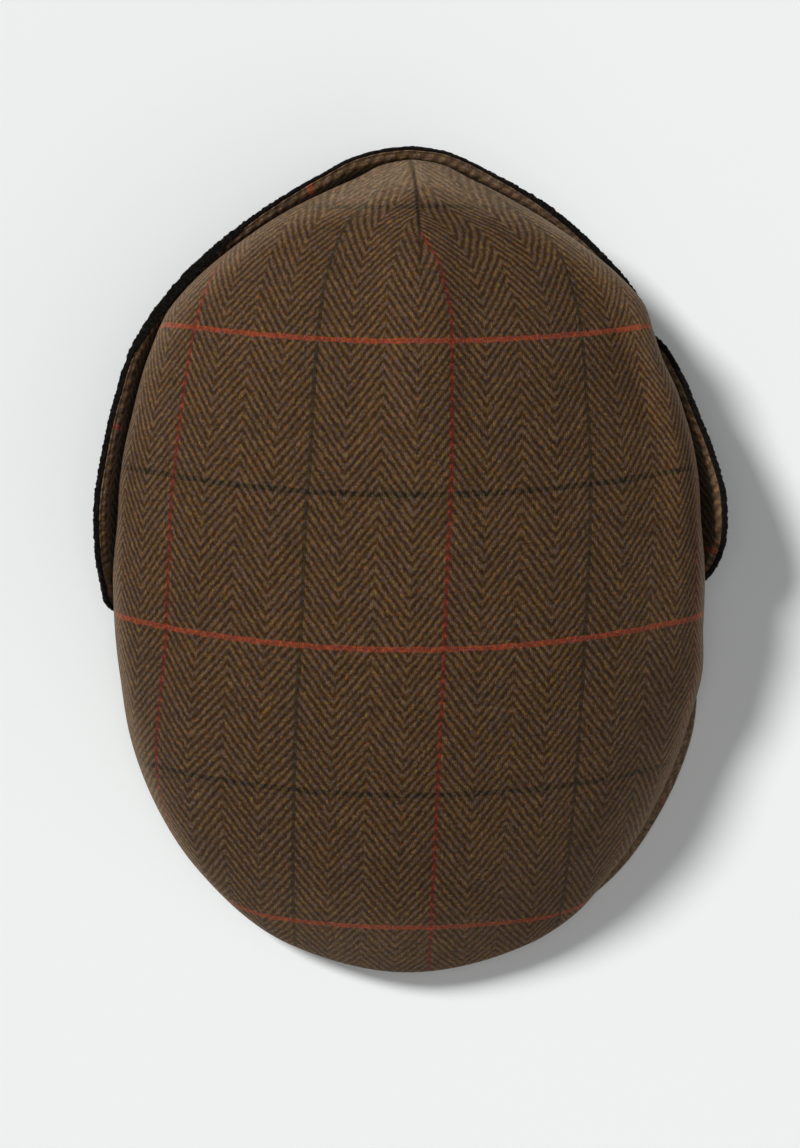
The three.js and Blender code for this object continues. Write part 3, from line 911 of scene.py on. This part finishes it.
def tweed_material():
    """Herringbone tweed woven yarn by yarn in the cloth's own coordinates, in millimetres.

    The yarns' colour takes the wool's tint and pales with painted sheen and light. Its tone changes with the
    fibres, a slow cloudiness and chance, takes painted shade in the hollows between yarns, darkens along the
    dart's seam with its stitching and painted shade of its groove, and brightens with painted light.
    """
    material, start, shader = new_material("herringbone_tweed", {
        "Roughness": 0.92, "Specular IOR Level": 0.2,
        "Sheen Weight": 0.18, "Sheen Roughness": 0.3, "Sheen Tint": (0.9, 0.72, 0.52, 1),
    })
    cloth = scaled(start.node("ShaderNodeUVMap", {"uv_map": "cloth"}), 1 / MM)
    # The seam mark: the dart's dark stitching with painted shade of its groove
    seam = start.node("ShaderNodeAttribute", {"attribute_name": "seam"}, output=2)
    # The painted light mark: painted sheen where the cloth is steep, and painted light on shaded parts
    painted_light = start.node("ShaderNodeAttribute", {"attribute_name": "painted_light"}, output=2)
    woven = weave(cloth)
    fibre, rise = woven["fibre"], woven["rise"]
    colour = vector_math("MULTIPLY", yarn_colour(woven), wool_tint(cloth))
    # Painted sheen and light pale the colour where the light mark is
    paled_by_light = (painted_light * PAINTED_LIGHT_COVER).mixed(colour, srgb(PAINTED_LIGHT_COLOUR))

    cloudy = noise(cloth, **CLOTH_NOISE["cloudy"])
    tuft = chance(woven["end"], (woven["picks"] * TUFT_TONE["picks"]).floor(), TUFT_TONE["layer"])
    uneven = TUFT_TONE["least"] + TUFT_TONE["chance"] * tuft
    tone = TONE["base"] + fibre + (cloudy - 0.5) * TONE["cloud"]
    # Painted shade: darker where the yarns' height is low, in the hollows between them
    tone = tone * (TONE["shaded_hollow"] + rise * TONE["rise"]) * uneven
    # Dark stitching with painted shade along the dart's seam, and painted light where the light mark is
    tone = tone * (1 - seam * TONE["seam"]) * (1 + painted_light * TONE["painted_light"])
    link(scaled(paled_by_light, tone), shader, "Base Color")
    link(bumped(rise * BUMP_RISE + fibre * BUMP_FIBRE, **TWEED_BUMP), shader, "Normal")
    return material


def fleece_material():
    """Black curly fleece: nearly black, with browner tips where the curls stand up."""
    material, start, shader = new_material("black_fleece", {
        "Roughness": 1.0, "Specular IOR Level": 0.1,
        "Sheen Weight": 0.1, "Sheen Roughness": 0.5, "Sheen Tint": (0.5, 0.42, 0.36, 1),
    })
    pile = noise(start.node("ShaderNodeTexCoord", output=3), **PILE_NOISE)
    link(pile.ramp(*PILE_RAMP).mixed(*map(srgb, FLEECE_COLOURS)), shader, "Base Color")
    link(bumped(pile, **PILE_BUMP), shader, "Normal")
    return material


def paper_material():
    """Plain pale surface, slightly cloudy."""
    material, start, shader = new_material("pale_surface", {"Roughness": 0.9, "Specular IOR Level": 0.2})
    cloud = noise(start.node("ShaderNodeTexCoord", output=3), **FLOOR_NOISE)
    link(cloud.mixed(*FLOOR_COLOURS), shader, "Base Color")
    return material


FINISH = {"tweed": tweed_material(), "fleece": fleece_material()}


def dress(obj, slot, *nodes):
    """Gives a piece its finish, ties it to the cap's body and says which solids it stands for."""
    obj.data.materials.append(FINISH[slot])
    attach(obj, "root")
    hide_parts(*nodes)
    return obj


def crown_sections():
    """Angles of the crown's sections, finer beside the dart, and the radii and heights of their points.

    A section's radius is the reach times a power of the sine, and its height falls from the top by a
    power of the cosine. Past the edge it is a quarter of an ellipse, the roll of cloth under the edge.
    """
    near = np.arange(0, DART_ANGLE, DART_STEP)
    rest = np.arange(DART_ANGLE, 360 - DART_ANGLE, CROWN_STEP)
    angles = np.concatenate([near, rest, 360 - near[:0:-1]])[:, None]
    dome_u = np.linspace(0, np.pi / 2, DOME_RINGS)[None, :]
    roll_u = np.linspace(0, np.pi / 2, ROLL_RINGS)[None, 1:]
    c = crown(angles)
    dome_r = c["reach"] * np.sin(dome_u) ** (2 / c["flat"])
    dome_z = lerp(CROWN_TOP_Z, c["edge"], 1 - np.clip(np.cos(dome_u), 0, 1) ** (2 / c["roll"]))
    roll_r = c["reach"] - c["tuck"] * (1 - np.cos(roll_u))
    roll_z = lerp(c["edge"], c["seam"], np.sin(roll_u))
    return angles, np.hstack([dome_r, roll_r]), np.hstack([dome_z, roll_z])


def crown_layout(angles, up, x, y):
    """Cloth coordinates of the crown's points, by their length up the sections and their place in plan.

    They follow the dome as far as a ring near its edge, and from there run straight on over the roll.
    The dart takes cloth up on the two sides of its seam, whose left side is one more column at the end.
    """
    cloth = np.stack(dome_cloth(x, y), -1)
    ring = int(DOME_RINGS * RUN_ON_START)
    held = cloth[:, ring:ring + 1]
    way = held - cloth[:, ring - RUN_ON_RINGS:ring - RUN_ON_RINGS + 1]
    way /= np.linalg.norm(way, axis=-1, keepdims=True)
    past = np.maximum(up - up[:, ring:ring + 1], 0)[..., None]
    outer = (np.arange(up.shape[1]) > ring)[None, :, None]
    cloth = np.where(outer, held + past * way, cloth)
    cloth = np.concatenate([cloth, cloth[:1]])
    pull = 1 / (1 + ((x - dart_seam(y)) / DART_SPREAD) ** 2)
    left, right = along(DART, "left", y) * pull, along(DART, "right", y) * pull
    cloth[..., 0] += np.concatenate([np.where(angles < 180, right, -left), -left[:1]])
    return cloth


def crown_painted_light(angles, part, points):
    """Painted light on the crown, by angle and part of the reach: painted sheen where it is steep, and
    painted light near its back, front and right edges.
    """
    at = turn(angles)
    back = lerp(BACK_PAINTED_LIGHT, SIDE_PAINTED_LIGHT, smoothstep(at, *BACK_TO_SIDE_ANGLE))
    back = back * (1 - smoothstep(at, *SIDE_FADE_ANGLE))
    back = back * smoothstep(part - SIDE_SHIFT * smoothstep(at, *SIDE_SHIFT_ANGLE), *BACK_LIGHT_PART)
    front = FRONT_PAINTED_LIGHT * smoothstep(at, *FRONT_LIGHT_ANGLE) * smoothstep(part, *FRONT_LIGHT_PART)
    right = RIGHT_PAINTED_LIGHT * stretch(at, RIGHT_LIGHT_ANGLE, RIGHT_FADE_ANGLE) * smoothstep(part, *RIGHT_LIGHT_PART)
    front = np.maximum(front, np.where(on_right(angles), right, 0))
    return np.maximum(smoothstep(steepness(points), *STEEP_PAINTED_SHEEN), back + front)


def crown_piece():
    """The top panel: dome sections and the roll of cloth under their edge, closed to one point on top.

    Near the dart the sections lean to its seam. Folds, the sag of the right side, the dart's groove and
    a slight unevenness change their heights. The seam mark, dark stitching with painted shade of the groove,
    and the painted light mark are for the tweed's tone.
    """
    angles, radius, height = crown_sections()
    points = place(angles, radius, height)
    lean = bell(turn(angles), DART_LEAN_ANGLE) * smoothstep(radius, *DART_LEAN_RADIUS)
    points[..., 0] += lean * (dart_seam(points[..., 1]) - CENTRE_X)
    x, y = points[..., 0], points[..., 1]
    cloth = crown_layout(angles, travelled(radius, height), x, y)
    part = radius / crown(angles)["reach"]
    inside = 1 - smoothstep(part, *FOLDS_FADE_PART)
    uneven = smoothstep(radius, *RIPPLES_RADIUS) * ripples(x, y, **RIPPLES)
    points[..., 2] += inside * (folds(x, y) + sag(x, y)) + dart_groove(x, y) + uneven
    # Dark line along the dart's seam: its stitching, with painted shade of its groove
    seam = stretch(y, SEAM_START_Y, SEAM_END_Y) * bell(x - dart_seam(y), GROOVE["width"])
    # Painted sheen and painted light on the crown
    marks = {"seam": seam, "painted_light": crown_painted_light(angles, part, points)}
    crown_top = add_surface("crown_cloth", points, cloth, wrap=True, pole=True, marks=marks)
    return dress(thicken(crown_top, TWEED), "tweed", "crown_top")


def panel_piece(side, name, node):
    """A side panel from its lower to its upper edge, parted from the other by a slit at the back."""
    angles = side * np.linspace(PANEL_BACK_ANGLE, PANEL_FRONT_ANGLE, PANEL_SECTIONS)[:, None]
    v = np.linspace(0, 1, PANEL_RINGS)[None, :]
    low_r, low_z, high_r, high_z = panel_edges(angles)
    radius = panel_radius(low_r, high_r, v)
    height = lerp(low_z, high_z, v)
    points = place(angles, radius, height)
    cloth = np.stack(np.broadcast_arrays(np.radians(angles) * radius, height), -1)
    if side > 0:
        points, cloth = points[::-1], cloth[::-1]
    return dress(thicken(add_surface(name, points, cloth), TWEED), "tweed", node)


def peak_piece():
    """The peak: an upper and a lower face joined by a rounded rim, as a loop of points at each angle."""
    angles = np.linspace(PEAK_CORNER_ANGLE, 360 - PEAK_CORNER_ANGLE, PEAK_SECTIONS)[:, None]
    v = np.sin(np.linspace(0, np.pi / 2, PEAK_RINGS))[None, :]
    rim = peak_rim(angles)
    radius = lerp(opening(angles), rim, v)
    top = peak_top(angles) + along(PEAK_RISE, "root", turn(angles)) * (1 - v) ** PEAK_HOLLOW
    under = top - lerp(PEAK_BOARD, PEAK_RIM, v ** PEAK_ROUNDING)
    bend = half_circle(RIM_POINTS)
    half = (top[:, -1:] - under[:, -1:]) / 2
    rim_r = rim + PEAK_RIM_BULGE * half * np.sin(bend)
    rim_z = top[:, -1:] - half + half * np.cos(bend)
    radius = np.hstack([radius, rim_r, radius[:, ::-1]])
    height = np.hstack([top, rim_z, under[:, ::-1]])
    cloth = closed_cloth(np.radians(angles - 180) * rim, travelled(radius, height))
    # Painted light over the whole peak, which lies in the crown's shade
    painted_light = np.full(radius.shape, PEAK_PAINTED_LIGHT)
    cover = add_surface("peak_cover", place(angles, radius, height), cloth, loop=True, marks={"painted_light": painted_light})
    return dress(cover, "tweed", "peak")


def flap_angles(step):
    """Angles of the flap's sections from its left front edge round the back to its right one."""
    count = round((FLAP_RIGHT_ANGLE - FLAP_LEFT_ANGLE) / step) + 1
    return np.linspace(FLAP_LEFT_ANGLE, FLAP_RIGHT_ANGLE, count)[:, None]


def flap_rings(below, lip):
    """Places up the flap, 0 at its fold to 1 at its rim, with a number of them below the lip and on it."""
    return np.concatenate([np.arange(below) / below * LIP_START, np.linspace(LIP_START, 1, lip)])[None, :]


def flap_layers(angles, v):
    """Radii of the flap's tweed face and back and of the fleece on it, with their heights.

    Over the last rise below the rim the face bends outwards into a lip of elliptic section, the tweed
    thins to its edge and the fleece thins to its rim, whose outside keeps the rim's reach.
    """
    radius, height = flap_section(angles, v)
    near = np.clip(1 - (height[:, -1:] - height) / LIP_RISE, 0, 1)
    lip = 1 - np.sqrt(1 - near * near)
    thick = along(RIM, "thick", angles)
    reach = np.maximum(flap_rim(angles)[0], radius[:, -1:] + TWEED + thick)
    face = lerp(radius, reach - thick - FLAP_EDGE, lip)
    back = face + lerp(TWEED, FLAP_EDGE, lip)
    against = back + lerp(GAP, RIM_GAP, lip)
    fluffy = lerp(against + FLEECE, reach, lip)
    return face, back, against, fluffy, height


def flap_piece():
    """The flap's tweed: up its face, over its thin rounded edge and down its back, as a loop."""
    angles = flap_angles(FLAP_STEP)
    face, back, _, _, height = flap_layers(angles, flap_rings(FLAP_RINGS, FLAP_LIP_RINGS))
    bend = half_circle(FLAP_EDGE_POINTS)
    edge_r = (face[:, -1:] + back[:, -1:]) / 2 - FLAP_EDGE / 2 * np.cos(bend)
    edge_z = height[:, -1:] + FLAP_EDGE / 2 * np.sin(bend)
    radius = np.hstack([face, edge_r, back[:, ::-1]])
    height = np.hstack([height, edge_z, height[:, ::-1]])
    row = np.radians(angles) * FLAP_CLOTH_RADIUS + FLAP_ROW
    cloth = closed_cloth(FLAP_EASE * travelled(radius, height), row)
    # Painted light on the lip, rising towards the flap's rim
    painted_light = LIP_PAINTED_LIGHT * smoothstep(height - height.max(1, keepdims=True), -LIP_RISE, 0)
    tweed = add_surface("flap_tweed", place(angles, radius, height), cloth, loop=True, marks={"painted_light": painted_light})
    return dress(tweed, "tweed", "ear_flap")


def lining_piece():
    """The fleece: under the cap's edge, up the flap's outside and over its rim, as a loop with curls.

    The hidden side against the tweed has fewer rings. The curls stand out from the surface on the
    outside and the rim.
    """
    angles = flap_angles(FLEECE_STEP)
    v = flap_rings(FLEECE_RINGS, FLEECE_LIP_RINGS)
    kept = np.concatenate([np.arange(0, FLEECE_RINGS, HIDDEN_RING_STEP), np.arange(FLEECE_RINGS, v.size)])
    _, _, against, fluffy, height = flap_layers(angles, v)
    first = (np.arange(v.size) == 0)[None, :]
    inner_z = np.where(first, FLEECE_FOLD, height)[:, kept]
    outer_z = np.where(first, 0, height)
    root = opening(angles)
    bend = half_circle(RIM_POINTS)
    lean = along(RIM, "over", angles)
    middle = (fluffy[:, -1:] + against[:, -1:] - lean) / 2
    half = (fluffy[:, -1:] - against[:, -1:] + lean) / 2
    rim_r = middle + half * np.cos(bend)
    rim_z = height[:, -1:] + RIM_OVER_TWEED * lerp(np.sin(bend), 1, RIM_SQUARE)
    hidden = against[:, kept][:, ::-1]
    radius = np.hstack([root, fluffy, rim_r, hidden, root])
    height = np.hstack([root * 0, outer_z, rim_z, inner_z[:, ::-1], root * 0 + FLEECE_FOLD])
    points = place(angles, radius, height)
    up = travelled(radius, height)
    round_cap = np.radians(angles) * FLEECE_CLOTH_RADIUS
    shown = np.concatenate([
        [0], smoothstep(v[0], *CURL_START), np.ones(rim_r.shape[1]), np.zeros(hidden.shape[1] + 1),
    ])
    across = round_cap + 0 * up
    pile = CURL_SHARE * curls(across, up, CURL, CURL_SEED)
    pile = pile + LARGE_CURL_SHARE * curls(across, up, LARGE_CURL, LARGE_CURL_SEED)
    stand = (pile - CURL_LEVEL) * CURL_RISE * along(RIM, "thick", angles) * shown
    points += outward(points) * stand[..., None]
    cloth = closed_cloth(round_cap, up)
    return dress(add_surface("fleece_lining", points, cloth, loop=True), "fleece", "flap_lining")


def floor_piece():
    """The pale surface that the cap lies on."""
    reach = np.array([-FLOOR_HALF, 0, FLOOR_HALF], float)
    x, y = np.meshgrid(reach, reach, indexing="ij")
    points = np.stack([x, y, np.full_like(x, FLOOR_Z)], -1)
    floor = add_surface("floor", points, points[..., :2])
    floor.data.materials.append(paper_material())


def add_sun(name, travel, height, width, strength):
    """A broad even light: its way over the floor, and its height and apparent width in degrees."""
    lamp = bpy.data.lights.new(name, "SUN")
    lamp.energy = strength
    lamp.angle = math.radians(width)
    obj = bpy.data.objects.new(name, lamp)
    obj.rotation_euler = (math.radians(90 - height), 0, math.atan2(travel[1], travel[0]) - math.pi / 2)
    bpy.context.scene.collection.objects.link(obj)


def studio():
    """Camera straight above the cap, a large soft light from the upper left and an even fill."""
    camera = bpy.data.cameras.new("camera")
    camera.sensor_fit = "VERTICAL"
    camera.sensor_height = SENSOR_HEIGHT
    camera.lens = LENS
    view = bpy.data.objects.new("camera", camera)
    view.location = [value * MM for value in CAMERA_PLACE]
    bpy.context.scene.collection.objects.link(view)
    bpy.context.scene.camera = view
    bpy.context.scene.view_settings.view_transform = "Standard"
    for name, sun in SUNS.items():
        add_sun(name, **sun)
    world = bpy.data.worlds.new("studio")
    world.use_nodes = True
    sky = world.node_tree.nodes["Background"]
    sky.inputs["Color"].default_value = (1, 1, 1, 1)
    sky.inputs["Strength"].default_value = SKY_STRENGTH
    bpy.context.scene.world = world


studio()
floor_piece()
crown_cloth = crown_piece()
left_panel = panel_piece(-1, "left_panel_cloth", "side_panel_left")
right_panel = panel_piece(1, "right_panel_cloth", "side_panel_right")
peak_cover = peak_piece()
flap_tweed = flap_piece()
fleece_lining = lining_piece()
